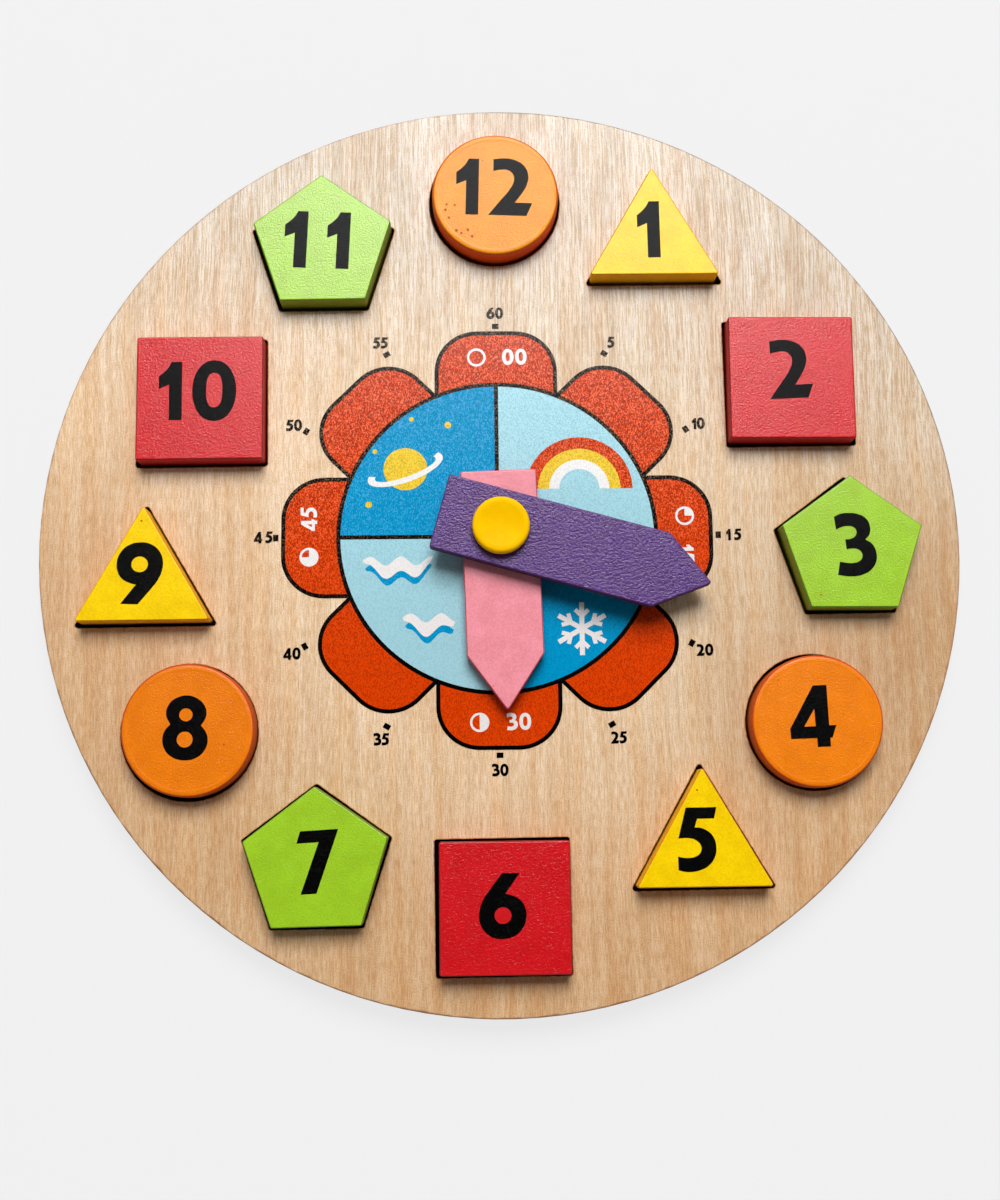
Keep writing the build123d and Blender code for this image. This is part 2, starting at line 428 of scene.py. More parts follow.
def lay_ring(name, inner, outer, bottom, top, material):
    """Lay a closed thin ring between two loops of points on the face board."""
    count = len(inner)
    corners = []
    for loop, height in ((inner, bottom), (outer, bottom), (outer, top), (inner, top)):
        corners += [(x, y, height) for x, y in loop]
    faces = []
    for side in range(4):
        for step in range(count):
            here = side * count + step
            ahead = side * count + (step + 1) % count
            over = (side + 1) % 4 * count
            faces.append((here, ahead, over + (step + 1) % count, over + step))
    ring_mesh = bpy.data.meshes.new(name)
    ring_mesh.from_pydata(corners, [], faces)
    ring_mesh.materials.append(material)
    ring = add_object(name, ring_mesh)
    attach(ring, "board")


def make_scorch(name, first, second):
    """Laser scorch on the veneer, blotched between two colours."""
    material, tree, surface, coordinates = start_material(name)
    smoke = noise(tree, coordinates["Object"], size=1.6 * mm, detail=3, roughness=0.6)
    tree.links.new(mix(tree, fade(tree, smoke, 0.35, 0.65), first, second), surface["Base Color"])
    tree.links.new(times(tree, smoke, 0.2, 0.45), surface["Roughness"])
    surface["Specular IOR Level"].default_value = 0.05
    bump(tree, surface, smoke, 0.03 * mm)
    return material


# The laser leaves a charred edge and a thin brown fringe round each opening.
char_width = 0.12 * mm
fringe_width = 0.26 * mm
scorch_depth = 0.02 * mm
char_finish = make_scorch("seat_char", srgb(8, 5, 4), srgb(30, 17, 10))
fringe_finish = make_scorch("seat_fringe", srgb(160, 102, 56), srgb(202, 152, 104))
face_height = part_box("face_board")[1].z
scorch_top = face_height + scorch_depth
openings = find_openings(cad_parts["face_board"], smallest=20 * mm)
for number, opening in enumerate(openings, start=1):
    charred = widen_loop(opening, char_width)
    fringed = widen_loop(opening, char_width + fringe_width)
    lay_ring(f"seat_char_{number:02d}", opening, charred, face_height, scorch_top, char_finish)
    lay_ring(f"seat_fringe_{number:02d}", charred, fringed, face_height, scorch_top, fringe_finish)

# ---------------------------------------------------------------- dial print
# Screen-printed inks on the face veneer, under the lacquer: four sky quarters in a ring,
# eight petals round it, minute marks and numbers. Towards 12 o'clock the ink carries painted
# glare: a stronger stipple and specks of bare-wood colour, partly wood showing through thin
# ink and partly painted glints. Towards 6 o'clock it is darkened a little as painted shade.

printed_ink, given, result = start_group(
    "printed_ink",
    {"Vector": None, "Ink": srgb(20, 20, 22), "Bare": srgb(240, 190, 144), "Grit": 1.0},
    {"Color": "Color", "Height": "Float", "Roughness": "Float"},
)
under_ink = use_group(printed_ink, timber, {"Vector": given["Vector"]})
drawn_out = {"Vector": given["Vector"], "Scale": (1, 0.6, 1)}
stipple = noise(printed_ink, place(printed_ink, "Mapping", drawn_out)[0], size=0.34 * mm, detail=1)
up_dial = place(printed_ink, "SeparateXYZ", {"Vector": given["Vector"]})["Y"]
# This share rises towards 12 o'clock, where the ink carries painted glare.
glare_share = fade(printed_ink, up_dial, -50 * mm, 50 * mm)
grit_and_glint_share = times(printed_ink, glare_share, 0.5, 0.5)
grit_and_glint_share = times(printed_ink, grit_and_glint_share, given["Grit"])
# The dark stipple grows stronger towards 12 o'clock as painted glint texture.
lean = times(printed_ink, fade(printed_ink, stipple, 0.46, 0.6), grit_and_glint_share)
# Towards 6 o'clock the ink is darkened a little as painted shade.
low_shade = mix(printed_ink, glare_share, srgb(240, 234, 233), srgb(255, 255, 255))
ink_colour = mix(printed_ink, 1.0, given["Ink"], low_shade, how="MULTIPLY")
ink_colour = mix(printed_ink, lean, ink_colour, srgb(160, 142, 148), how="MULTIPLY")
# Specks of bare-wood colour towards 12 o'clock: partly wood through thin ink, partly painted glints.
bare_specks_and_glints = times(printed_ink, fade(printed_ink, stipple, 0.45, 0.35), glare_share)
bare_specks_and_glints = times(printed_ink, bare_specks_and_glints, times(printed_ink, grit_and_glint_share, 0.25))
ink_colour = mix(printed_ink, bare_specks_and_glints, ink_colour, given["Bare"])
printed_ink.links.new(ink_colour, result["Color"])
ink_height = times(printed_ink, under_ink["Height"], 0.3, stipple)
printed_ink.links.new(ink_height, result["Height"])
printed_ink.links.new(times(printed_ink, stipple, 0.12, 0.1), result["Roughness"])


def make_ink(name, colour, shine=0.3, grit=1.0):
    """Satin screen ink of one colour over the grain."""
    material, tree, surface, coordinates = start_material(name)
    surface["Specular IOR Level"].default_value = shine
    settings = {"Vector": coordinates["Object"], "Ink": colour, "Grit": grit}
    ink = use_group(tree, printed_ink, settings)
    tree.links.new(ink["Color"], surface["Base Color"])
    tree.links.new(ink["Roughness"], surface["Roughness"])
    bump(tree, surface, ink["Height"], 0.055 * mm)
    return material


def turned_point(x, y, turn, middle=(0, 0)):
    """Turn a point anticlockwise by some degrees and move it to a middle."""
    angle = radians(turn)
    return (
        middle[0] + x * cos(angle) - y * sin(angle),
        middle[1] + x * sin(angle) + y * cos(angle),
    )


def arc(centre_x, centre_y, radius, start, end, steps):
    """Points along an arc, with angles in degrees anticlockwise from the right."""
    points = []
    for step in range(steps + 1):
        angle = radians(start + (end - start) * step / steps)
        points.append((centre_x + radius * cos(angle), centre_y + radius * sin(angle)))
    return points


def print_shape(name, outlines, bottom, top, material, body, spread=0.0):
    """Lay a thin flat film between two heights. Each outline is a closed list of points in
    millimetres, points inside inner brackets lie on a smooth curve, and the ink spreads a
    little beyond the outlines."""
    drawing = bpy.data.curves.new(name, "CURVE")
    drawing.dimensions = "2D"
    drawing.fill_mode = "BOTH"
    drawing.offset = spread * mm
    drawing.extrude = (top - bottom) / 2 * mm
    for outline in outlines:
        points = []
        for entry in outline:
            if isinstance(entry, list):
                points += [(point, "AUTO") for point in entry]
            else:
                points.append((entry, "VECTOR"))
        spline = drawing.splines.new("BEZIER")
        spline.bezier_points.add(len(points) - 1)
        spline.use_cyclic_u = True
        spline.resolution_u = 8
        for knot, (point, handle) in zip(spline.bezier_points, points):
            knot.co = (point[0] * mm, point[1] * mm, 0)
            knot.handle_left_type = handle
            knot.handle_right_type = handle
    pattern = add_object(name + "_drawing", drawing)
    bpy.context.view_layer.update()
    film_mesh = bpy.data.meshes.new_from_object(pattern)
    bpy.data.objects.remove(pattern)
    film = add_object(name, film_mesh)
    for vertex in film_mesh.vertices:
        vertex.co.z += (top + bottom) / 2 * mm
    film_mesh.materials.clear()
    film_mesh.materials.append(material)
    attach(film, body)


face_level = face_height / mm
dial_centre = (-1.3, 3.1)
dial_turn = 0.48
dial_squash = 0.985


def on_dial(points, turn=0.0):
    """Turn points clockwise by some degrees about the dial's middle and place them."""
    placed = []
    for across, out in points:
        right, up = turned_point(across, out, -turn)
        placed.append(turned_point(right, up * dial_squash, -dial_turn, dial_centre))
    return placed


ring_radius = 51.85
line_width = 1.35
petal_reach = 69.75
petal_half_width = 19.6
petal_corner = 13.4
film_depth = 0.04
colour_film = (face_level, face_level + film_depth)
motif_film = (face_level, face_level + 1.5 * film_depth)
line_film = (face_level, face_level + 2 * film_depth)

black_ink = make_ink("black_ink", srgb(3, 3, 3), shine=0.12)
white_ink = make_ink("white_ink", srgb(240, 240, 238), grit=0.2)
deep_blue_ink = make_ink("deep_blue_ink", srgb(0, 155, 209), shine=0.1, grit=0.45)
pale_blue_ink = make_ink("pale_blue_ink", srgb(164, 217, 229), grit=0.3)
petal_ink = make_ink("petal_ink", srgb(226, 68, 0), shine=0.18)
yellow_ink = make_ink("yellow_ink", srgb(242, 206, 44), grit=0.5)


def print_on_face(name, outlines, film, material, spread=0.0):
    """Print one shape on the face board."""
    print_shape(name, outlines, film[0], film[1], material, "board", spread)


# Four quarters of sky.
quarter = [(0, 0)] + arc(0, 0, ring_radius, 90, 0, steps=40)
for number in range(4):
    sky_ink = deep_blue_ink if number % 2 else pale_blue_ink
    print_on_face(f"sky_quarter_{number + 1}", [on_dial(quarter, 90 * number)], colour_film, sky_ink)


def petal_edge(grow):
    """Edge of a petal from its right foot round to its left, moved out by a width."""
    side = petal_half_width + grow
    reach = petal_reach + grow
    corner = petal_corner + grow
    right = arc(side - corner, reach - corner, corner, 0, 90, steps=14)
    left = arc(corner - side, reach - corner, corner, 90, 180, steps=14)
    return right + left


# Eight petals, each with a black outline that stands on the ring.
petals = 8
petal_pitch = 360 / petals
half_pitch = radians(petal_pitch / 2)
line_half = line_width / 2
ring_outside = ring_radius + line_half
foot_angle = 90 - 180 / pi * (petal_half_width / ring_radius)
petal = petal_edge(0) + arc(0, 0, ring_radius, 180 - foot_angle, foot_angle, steps=20)
outside = petal_half_width + line_half
inside = petal_half_width - line_half
meeting = outside / sin(half_pitch) * cos(half_pitch)
ring_right = (ring_outside * sin(half_pitch), ring_outside * cos(half_pitch))
inner_foot = (ring_outside ** 2 - inside ** 2) ** 0.5
petal_line = [ring_right, (outside, meeting)] + petal_edge(line_half)
petal_line += [(-outside, meeting), (-ring_right[0], ring_right[1]), (-inside, inner_foot)]
petal_line += petal_edge(-line_half)[::-1] + [(inside, inner_foot)]
for number in range(petals):
    turn = petal_pitch * number
    print_on_face(f"petal_{number + 1}", [on_dial(petal, turn)], colour_film, petal_ink)
    print_on_face(f"petal_line_{number + 1}", [on_dial(petal_line, turn)], line_film, black_ink)

# Ring, and the cross that parts the quarters.
ring_inside = ring_radius - line_half
ring_line = [on_dial(arc(0, 0, radius, 0, 358, steps=179)) for radius in (ring_outside, ring_inside)]
print_on_face("ring_line", ring_line, line_film, black_ink)
arm = [(-line_half, line_half), (-line_half, ring_inside), (line_half, ring_inside)]
cross = [turned_point(x, y, -turn) for turn in (0, 90, 180, 270) for x, y in arm]
print_on_face("cross_line", [on_dial(cross)], line_film, black_ink)

# Minute marks: small upright bars that point at the middle.
mark_ring = 72.17
mark_width = 2.2
mark_length = 1.75
side = mark_width / 2
low = mark_ring - mark_length / 2
high = mark_ring + mark_length / 2
mark = [(-side, low), (side, low), (side, high), (-side, high)]
for minute in range(0, 60, 5):
    print_on_face(f"minute_mark_{minute:02d}", [on_dial(mark, 6 * minute)], line_film, black_ink)

# Plain bold digits, drawn 20 mm high on a baseline, each about its own middle.
digit_height = 20.0
six = [
    (0, 20), (5.5, 20), (0.9, 13.7),
    [(2.9, 13.2), (5.4, 11.9), (7.0, 9.4), (7.3, 6.3), (6.1, 3.1), (3.7, 0.9), (0.4, 0)],
    [(-3.0, 0.4), (-5.7, 2.3), (-7.2, 5.3), (-7.2, 8.6), (-6.0, 12.0), (-4.0, 14.9)],
]
six_eye = [[(2.7, 7.1), (0.05, 9.65), (-2.6, 7.1), (0.05, 4.55)]]


def upside_down(outline):
    """Turn an outline of a digit half round."""
    turned = []
    for entry in outline:
        if isinstance(entry, list):
            turned.append([(-x, digit_height - y) for x, y in entry])
        else:
            turned.append((-entry[0], digit_height - entry[1]))
    return turned


digits = {
    "0": [
        [[(7.15, 10.2), (0, 20.4), (-7.15, 10.2), (0, 0)]],
        [[(2.6, 10.4), (0, 16.2), (-2.6, 10.4), (0, 4.6)]],
    ],
    "1": [[
        (2.1, 0), (2.1, 19.5), (-1.3, 19.5), [(-2.3, 17.7), (-3.7, 16.1)],
        (-5.4, 14.7), (-5.4, 10.5), (-2.1, 12.0), (-2.1, 0),
    ]],
    "2": [[
        (-6.0, 19.5),
        [(-2.0, 19.9), (1.4, 19.3), (4.3, 17.4), (5.7, 14.3), (5.4, 11.2), (3.9, 8.1)],
        (1.4, 4.5), (7.25, 4.5), (5.4, 0), (-7.25, 0),
        [(-2.8, 5.8), (-0.4, 9.0), (1.0, 12.3), (0.6, 14.5), (-1.1, 15.8), (-3.6, 15.9)],
        (-5.95, 15.4),
    ]],
    "3": [[
        (-6.6, 19.5),
        [(-4.3, 20.5), (-1.8, 20.7), (1.2, 20.3), (3.7, 18.9), (4.9, 16.4), (4.7, 13.7)],
        (3.2, 11.9),
        [(5.2, 10.6), (6.4, 8.3), (6.4, 4.8), (4.7, 2.1), (2.0, 0.5), (-1.8, -0.1), (-4.2, 0.1)],
        (-6.2, 0.5), (-5.4, 4.8),
        [(-3.4, 4.4), (-1.0, 4.3), (1.1, 5.0), (2.0, 6.7), (1.3, 8.3), (-0.6, 9.0)],
        (-3.0, 8.8), (-3.3, 12.0),
        [(-1.2, 12.3), (0.2, 13.4), (0.4, 15.0), (-0.6, 16.1), (-2.4, 16.4), (-4.3, 16.1)],
        (-6.1, 15.3),
    ]],
    "4": [
        [
            (0.7, 19.5), (5.1, 19.5), (5.1, 6.7), (7.4, 6.7), (5.9, 2.8), (5.2, 2.8),
            (5.2, 0), (1.0, 0), (1.0, 2.8), (-7.3, 2.8), (-7.4, 6.0),
        ],
        [(0.7, 12.1), (0.8, 6.55), (-2.9, 6.55)],
    ],
    "5": [[
        (-3.4, 19.9), (6.3, 19.9), (5.4, 16.4), (0.1, 16.4), (-0.8, 13.7),
        [(0.9, 13.6), (3.2, 12.6), (5.0, 10.7), (5.8, 7.6), (5.2, 4.4), (3.4, 2.0), (0.6, 0.5)],
        [(-2.3, 0.0), (-4.4, 0.1)],
        (-6.3, 0.6), (-6.3, 4.8),
        [(-4.4, 4.4), (-2.2, 4.4), (-0.2, 5.0), (1.0, 6.4), (1.0, 8.0), (-0.3, 9.6), (-2.4, 10.4)],
        (-6.0, 10.4),
    ]],
    "6": [six, six_eye],
    "7": [[(-5.3, 19.4), (6.6, 19.4), (-1.1, 0), (-6.0, 0), (0.3, 15.7), (-6.6, 15.7)]],
    "8": [
        [
            (-4.9, 11.1),
            [(-6.4, 14.4), (-5.4, 17.8), (-3.0, 19.7), (0, 20.4), (3.0, 19.6), (5.4, 17.6)],
            [(6.3, 15.0), (5.8, 12.8)],
            (4.75, 11.05),
            [(6.4, 9.0), (7.1, 6.4), (6.2, 3.2), (3.8, 0.9), (0.2, 0), (-3.6, 0.8), (-6.2, 3.2)],
            [(-7.1, 6.3), (-6.5, 9.1)],
        ],
        [[(1.95, 14.25), (-0.15, 16.3), (-2.25, 14.25), (-0.15, 12.2)]],
        [[(2.4, 6.5), (-0.1, 9.0), (-2.6, 6.5), (-0.1, 4.0)]],
    ],
    "9": [upside_down(six), upside_down(six_eye)],
}
digit_sides = {
    "0": (-7.15, 7.15),
    "1": (-5.4, 2.1),
    "2": (-7.25, 7.25),
    "3": (-6.6, 6.5),
    "4": (-7.4, 7.4),
    "5": (-6.3, 6.3),
    "6": (-7.3, 7.3),
    "7": (-6.6, 6.6),
    "8": (-7.1, 7.1),
    "9": (-7.3, 7.3),
}


def move_digit(digit, size, base, tilt, width=1.0):
    """Outlines of a digit at a size, with its base at a place, tilted anticlockwise."""

    def moved(entry):
        if isinstance(entry, list):
            return [moved(point) for point in entry]
        return turned_point(entry[0] * size * width, entry[1] * size, tilt, base)

    return [[moved(entry) for entry in outline] for outline in digits[digit]]


def write_number(text, height, middle, gap, tilt=0.0, width=1.0):
    """Outlines of a number of this height about a middle point."""
    size = height / digit_height
    digit_widths = [digit_sides[digit][1] - digit_sides[digit][0] for digit in text]
    across = -(sum(digit_widths) + gap * (len(text) - 1)) / 2
    outlines = []
    for digit, digit_width in zip(text, digit_widths):
        x = (across - digit_sides[digit][0]) * size * width
        base = turned_point(x, -height / 2, tilt, middle)
        outlines += move_digit(digit, size, base, tilt, width)
        across += digit_width + gap
    return outlines


minute_number_height = 3.75
minute_number_width = 0.95
minute_number_spread = 0.07
usual_gap = 1.6
wide_gaps = {"15": 7.0, "45": 6.0}
minute_number_places = {
    "60": (-0.8, 78.7),
    "5": (37.7, 68.2),
    "10": (65.8, 40.0),
    "15": (76.0, 2.5),
    "20": (65.0, -35.3),
    "25": (36.3, -63.0),
    "30": (-1.9, -72.7),
    "35": (-39.7, -62.2),
    "40": (-68.2, -34.2),
    "45": (-77.5, 4.0),
    "50": (-67.5, 41.3),
    "55": (-38.9, 69.0),
}
for text, middle in minute_number_places.items():
    gap = wide_gaps.get(text, usual_gap)
    number = write_number(text, minute_number_height, middle, gap, width=minute_number_width)
    print_on_face(f"minute_number_{text}", number, line_film, black_ink, minute_number_spread)

# Quarter-hour numbers in the petals at 12, 3, 6 and 9 o'clock, with a pie that fills up.
quarter_number_height = 5.4
quarter_mark_ring = 61.4
number_right = 6.2
pie_left = 6.4
pie_radius = 3.1
pie_line = 0.75
pie_inside = pie_radius - pie_line
# How far each petal is turned clockwise, and its mark tilted anticlockwise.
quarter_marks = {"00": (0, 0), "15": (90, -90), "30": (180, 0), "45": (270, 90)}
for text, (turn, tilt) in quarter_marks.items():
    middle = on_dial([(0, quarter_mark_ring)], turn)[0]
    number_middle = turned_point(number_right, 0, tilt, middle)
    pie_middle = turned_point(-pie_left, 0, tilt, middle)
    number = write_number(text, quarter_number_height, number_middle, gap=1.8, tilt=tilt)
    print_on_face(f"quarter_number_{text}", number, motif_film, white_ink)
    rim = [arc(*pie_middle, radius, 0, 356, steps=45) for radius in (pie_radius, pie_inside)]
    print_on_face(f"quarter_rim_{text}", rim, motif_film, white_ink)
    if turn:
        wedge = [pie_middle] + arc(*pie_middle, pie_inside, 90, 90 - turn, steps=24)
        print_on_face(f"quarter_wedge_{text}", [wedge], motif_film, white_ink)

# Pictures in the four quarters: a ringed planet, a rainbow, two waves and a snowflake.
planet_middle = (-30, 23)
planet_radius = 7.2
planet_ring = []
ring_tilt = 20
for radius, flatness, angles in ((13, 4.4, range(158, 383, 8)), (10.6, 2.6, range(378, 157, -8))):
    for angle in angles:
        x = radius * cos(radians(angle))
        y = flatness * sin(radians(angle))
        planet_ring.append(turned_point(x, y, ring_tilt, planet_middle))
planet = arc(*planet_middle, planet_radius, 0, 352, steps=44)
print_on_face("planet", [on_dial(planet)], motif_film, yellow_ink)
print_on_face("planet_ring", [on_dial(planet_ring)], line_film, white_ink)
night_lights = [(-16, 38, 1.1), (-42, 11, 1.1), (-13, 15, 0.9), (-28, 40, 0.8), (-40, 29, 0.8)]
for number, (x, y, radius) in enumerate(night_lights, start=1):
    dot = arc(x, y, radius, 0, 345, steps=23)
    print_on_face(f"night_light_{number}", [on_dial(dot)], motif_film, yellow_ink)

rainbow_middle = (27, 16)
rainbow_bands = {
    "outer": (17.5, 13.6, petal_ink),
    "middle": (13.6, 9.9, yellow_ink),
    "inner": (9.9, 6.6, white_ink),
}
for band, (outer, inner, ink) in rainbow_bands.items():
    bow = arc(*rainbow_middle, outer, 0, 180, steps=36)
    bow += arc(*rainbow_middle, inner, 180, 0, steps=28)
    print_on_face(f"rainbow_{band}", [on_dial(bow)], motif_film, ink)


def draw_wave(left, right, height, thickness, crests):
    """A ribbon that rolls from left to right."""
    steps = 32
    rise = 1.5
    top_edge = []
    bottom_edge = []
    for step in range(steps + 1):
        share = step / steps
        x = left + (right - left) * share
        y = height + rise * sin(2 * pi * crests * share)
        top_edge.append((x, y))
        bottom_edge.append((x, y - thickness * sin(pi * share) ** 0.5))
    return top_edge + bottom_edge[-2:0:-1]


waves = {"long": (-44, -21, -8), "short": (-31, -14, -27)}
crest_pitch = 10
for label, (left, right, height) in waves.items():
    crests = (right - left) / crest_pitch
    shade = draw_wave(left + 0.8, right - 0.4, height - 2.6, 4.4, crests)
    crest = draw_wave(left, right, height, 4.8, crests)
    print_on_face(f"wave_shade_{label}", [on_dial(shade)], motif_film, deep_blue_ink)
    print_on_face(f"wave_{label}", [on_dial(crest)], line_film, white_ink)

snowflake_middle = (27, -31)
snow_arm = [(1.39, -0.8), (4.0, -0.8), (5.8, -2.6), (6.8, -1.7), (5.9, -0.8), (8.8, -0.8)]
snow_arm += [(8.8, 0.8), (5.9, 0.8), (6.8, 1.7), (5.8, 2.6), (4.0, 0.8)]
snowflake = []
for turn in range(30, 390, 60):
    snowflake += [turned_point(out, side, turn, snowflake_middle) for out, side in snow_arm]
print_on_face("snowflake", [on_dial(snowflake)], motif_film, white_ink)

# ---------------------------------------------------------------- number blocks
# Solid wooden blocks, sanded round at their edges and dipped in thick semi-gloss paint,
# one colour for each shape. They stand loose in the openings. The numerals are printed in
# black on top of the paint.

thick_paint, given, result = start_group(
    "thick_paint",
    {
        "Vector": None,
        "Normal": None,
        "Paint": srgb(200, 30, 40),
        "Pebble": 1.1 * mm,
        "Wrinkle": 0.0,
        "Rim": srgb(212, 142, 90),
        "Side": srgb(240, 160, 110),
        "Middle": None,
        "Ring": -1.0,
    },
    {"Color": "Color", "Height": "Float", "Roughness": "Float"},
)
pebble_scale = calc(thick_paint, "DIVIDE", 1.0, given["Pebble"])
pebble_settings = {"Vector": given["Vector"], "Scale": pebble_scale, "Detail": 2.0}
pebbles = place(thick_paint, "TexNoise", pebble_settings)[0]
slanted = {"Vector": given["Vector"], "Rotation": (0, 0, radians(-38)), "Scale": (0.45, 1.0, 1.0)}
wrinkle_settings = {
    "Vector": place(thick_paint, "Mapping", slanted)[0],
    "Scale": pebble_scale,
    "Detail": 2.5,
    "Distortion": 0.8,
}
wrinkles = place(thick_paint, "TexNoise", wrinkle_settings)[0]
ridges = calc(thick_paint, "ABSOLUTE", times(thick_paint, wrinkles, 2.0, -1.0))
skin = times(thick_paint, times(thick_paint, ridges, given["Wrinkle"]), -0.9, pebbles)


def work_out(operation, *vectors):
    """One sum of vectors in the paint."""
    return place(thick_paint, "VectorMath", dict(enumerate(vectors)), operation=operation)


from_middle = work_out("SUBTRACT", given["Vector"], given["Middle"])[0]
ring_distance = work_out("LENGTH", work_out("MULTIPLY", from_middle, (1, 1, 0))[0])["Value"]
off_ring = calc(thick_paint, "ABSOLUTE", calc(thick_paint, "SUBTRACT", ring_distance, given["Ring"]))
ridge = fade(thick_paint, off_ring, 0.7 * mm, 0.1 * mm)
thick_paint.links.new(times(thick_paint, ridge, 0.4, skin), result["Height"])
mottle = noise(thick_paint, given["Vector"], size=6 * mm, detail=3)
deep_paint = mix(thick_paint, 1.0, given["Paint"], srgb(246, 242, 238), how="MULTIPLY")
paint_colour = mix(thick_paint, fade(thick_paint, mottle, 0.3, 0.7), deep_paint, given["Paint"])
upward = place(thick_paint, "SeparateXYZ", {"Vector": given["Normal"]})["Z"]
on_round = fade(thick_paint, upward, 0.995, 0.8)
on_round = times(thick_paint, fade(thick_paint, upward, 0.1, 0.5), on_round)
# The hollows of the pebbled skin are darkened as painted shade.
grit = times(thick_paint, fade(thick_paint, skin, 0.6, 0.3), 0.22)
paint_colour = mix(thick_paint, grit, paint_colour, srgb(206, 190, 180), how="MULTIPLY")
# The rounded rim is tinted deeper: partly deeper paint, partly painted shade where the rim turns away from
# the glare.
paint_colour = mix(thick_paint, on_round, paint_colour, given["Rim"], how="MULTIPLY")
# The sides are darkened and tinted as painted shade.
on_side = fade(thick_paint, upward, 0.4, 0.1)
paint_colour = mix(thick_paint, on_side, paint_colour, given["Side"], how="MULTIPLY")
pits = place(thick_paint, "TexVoronoi", {"Vector": given["Vector"], "Scale": 1 / (7 * mm)})
pit = fade(thick_paint, pits["Distance"], 0.035, 0.015)
pit_paint = mix(thick_paint, 1.0, given["Paint"], srgb(140, 110, 100), how="MULTIPLY")
thick_paint.links.new(mix(thick_paint, pit, paint_colour, pit_paint), result["Color"])
rough = times(thick_paint, mottle, 0.06, 0.2)
rough = times(thick_paint, calc(thick_paint, "MAXIMUM", on_round, on_side), 0.4, rough)
thick_paint.links.new(rough, result["Roughness"])

no_tint = srgb(255, 255, 255)


def make_paint(
    name, colour, pebble, wrinkle, depth, shine, rim=no_tint, side=no_tint, middle=(0, 0, 0), ring=-1.0
):
    """Thick semi-gloss paint of one colour, with a deeper tint on the rounded rim, partly
    painted shade, and painted shade on the sides and in the hollows of its skin. Its pebbles
    and their depth are in millimetres, and it can dry with a low ridge round a middle."""
    material, tree, surface, coordinates = start_material(name)
    surface["Specular IOR Level"].default_value = shine
    settings = {
        "Vector": coordinates["Object"],
        "Normal": coordinates["Normal"],
        "Paint": colour,
        "Pebble": pebble * mm,
        "Wrinkle": wrinkle,
        "Rim": rim,
        "Side": side,
        "Middle": middle,
        "Ring": ring,
    }
    paint = use_group(tree, thick_paint, settings)
    tree.links.new(paint["Color"], surface["Base Color"])
    tree.links.new(paint["Roughness"], surface["Roughness"])
    bump(tree, surface, paint["Height"], depth * mm)
    return material


# Each paint's side tint is painted shade; its rim tint is partly deeper paint and partly painted shade.
block_paints = {
    "triangle": make_paint(
        "yellow_paint", srgb(247, 208, 0), pebble=0.6, wrinkle=0.3, depth=0.06, shine=0.24,
        rim=srgb(215, 160, 60), side=srgb(255, 214, 110),
    ),
    "square": make_paint(
        "red_paint", srgb(206, 13, 23), pebble=0.6, wrinkle=0.7, depth=0.1, shine=0.4,
        rim=srgb(160, 50, 60), side=srgb(222, 40, 50),
    ),
    "pentagon": make_paint(
        "green_paint", srgb(156, 203, 34), pebble=0.55, wrinkle=0.3, depth=0.1, shine=0.5,
        rim=srgb(130, 165, 50), side=srgb(220, 186, 50),
    ),
}
# Block 12's orange is paler and yellower than 4's and 8's as painted glare.
disc_colours = {4: srgb(239, 128, 0), 8: srgb(235, 124, 0), 12: srgb(240, 151, 0)}
disc_side_shades = {4: srgb(205, 170, 20), 8: srgb(205, 170, 20), 12: srgb(245, 132, 20)}
ridge_inset = 1.6 * mm
numeral_ink = make_paint("numeral_ink", srgb(2, 2, 2), pebble=0.45, wrinkle=0.7, depth=0.08, shine=0.075)
mark_paint = make_paint("mark_paint", srgb(182, 84, 0), pebble=0.5, wrinkle=0.2, depth=0.04, shine=0.04)

# Where each digit stands on its block: right of the block's middle, up from its lower
# edge, and tilted anticlockwise.
numeral_places = {
    1: [("1", 0.1, 5.93, 0.0)],
    2: [("2", -0.3, 13.6, 2.2)],
    3: [("3", 0.8, 10.24, 0.0)],
    4: [("4", -1.4, 12.8, 1.2)],
    5: [("5", -2.05, 4.93, 0.0)],
    6: [("6", -0.8, 11.3, 0.0)],
    7: [("7", 1.55, 10.4, 2.6)],
    8: [("8", -1.0, 11.6, -2.6)],
    9: [("9", -1.3, 5.28, -2.5)],
    10: [("1", -7.8, 13.1, 0.0), ("0", 4.65, 12.6, -0.5)],
    11: [("1", -7.5, 11.14, -3.1), ("1", 6.5, 10.54, -3.1)],
    12: [("1", -7.9, 14.1, -2.0), ("2", 4.8, 13.6, -2.6)],
}
numeral_depth = 0.05
blocks = {int(name.split("_")[1]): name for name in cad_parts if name.startswith("block_")}
for hour, numerals in numeral_places.items():
    block = blocks[hour]
    shape = block.split("_")[2]
    low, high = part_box(block)
    middle_x = (low.x + high.x) / 2
    if shape == "circle":
        disc_paint = make_paint(
            f"orange_paint_{hour:02d}", disc_colours[hour], pebble=0.55, wrinkle=0.6, depth=0.1, shine=0.24,
            rim=srgb(212, 140, 20), side=disc_side_shades[hour],
            middle=(middle_x, (low.y + high.y) / 2, 0), ring=(high.x - low.x) / 2 - ridge_inset,
        )
        dress(block, disc_paint)
    else:
        dress(block, block_paints[shape])
    outlines = []
    for digit, right, up, tilt in numerals:
        outlines += move_digit(digit, 1.0, (middle_x / mm + right, low.y / mm + up), tilt)
    top = high.z / mm
    film_top = top + numeral_depth
    print_shape(f"numeral_{hour:02d}", outlines, top, film_top, numeral_ink, block)

